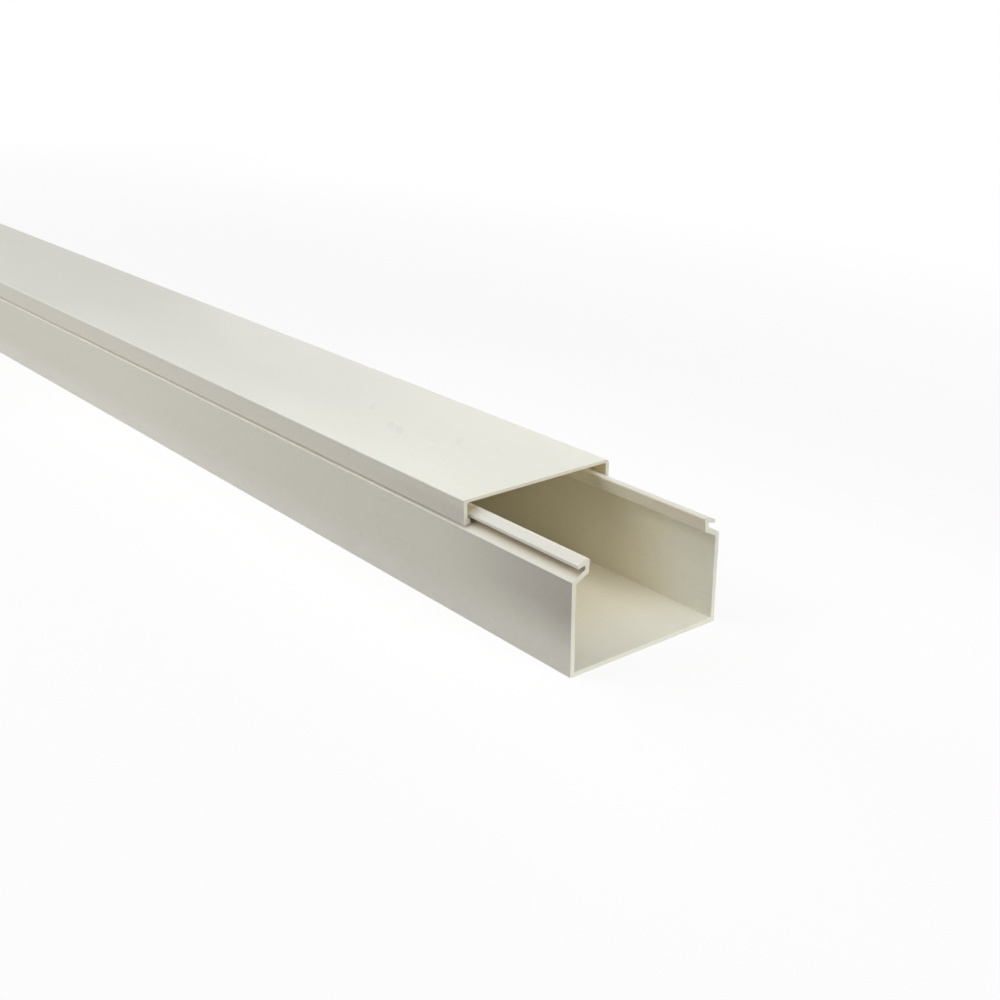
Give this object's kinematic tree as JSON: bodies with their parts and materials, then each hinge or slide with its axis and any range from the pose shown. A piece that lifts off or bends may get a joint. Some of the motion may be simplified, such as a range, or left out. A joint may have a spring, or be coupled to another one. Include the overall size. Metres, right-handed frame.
{
  "type": "cable trunking",
  "caption": "Length of plastic cable trunking: an open channel with outward snap hooks and a separate push-fit cover, slid back at one end.",
  "frame": {"origin": "middle of the channel's flat underside, the face that goes against the wall or floor", "axes": "+X along the length towards the end where the cover is set back, +Y across the width, +Z out of the channel through the cover"},
  "size_m": [2.05, 0.0602, 0.04],
  "materials": {
    "base_plastic": "satin cream-white",
    "cover_plastic": "satin cream-white"
  },
  "bodies": {
    "channel": {"trunking_base": "base_plastic"},
    "cover": {"snap_cover": "cover_plastic"}
  },
  "joints": [
    {"name": "cover_slide", "type": "slide", "parent": "channel", "child": "cover", "axis": [1, 0, 0], "range_m": [-1.9, 0.05]}
  ]
}
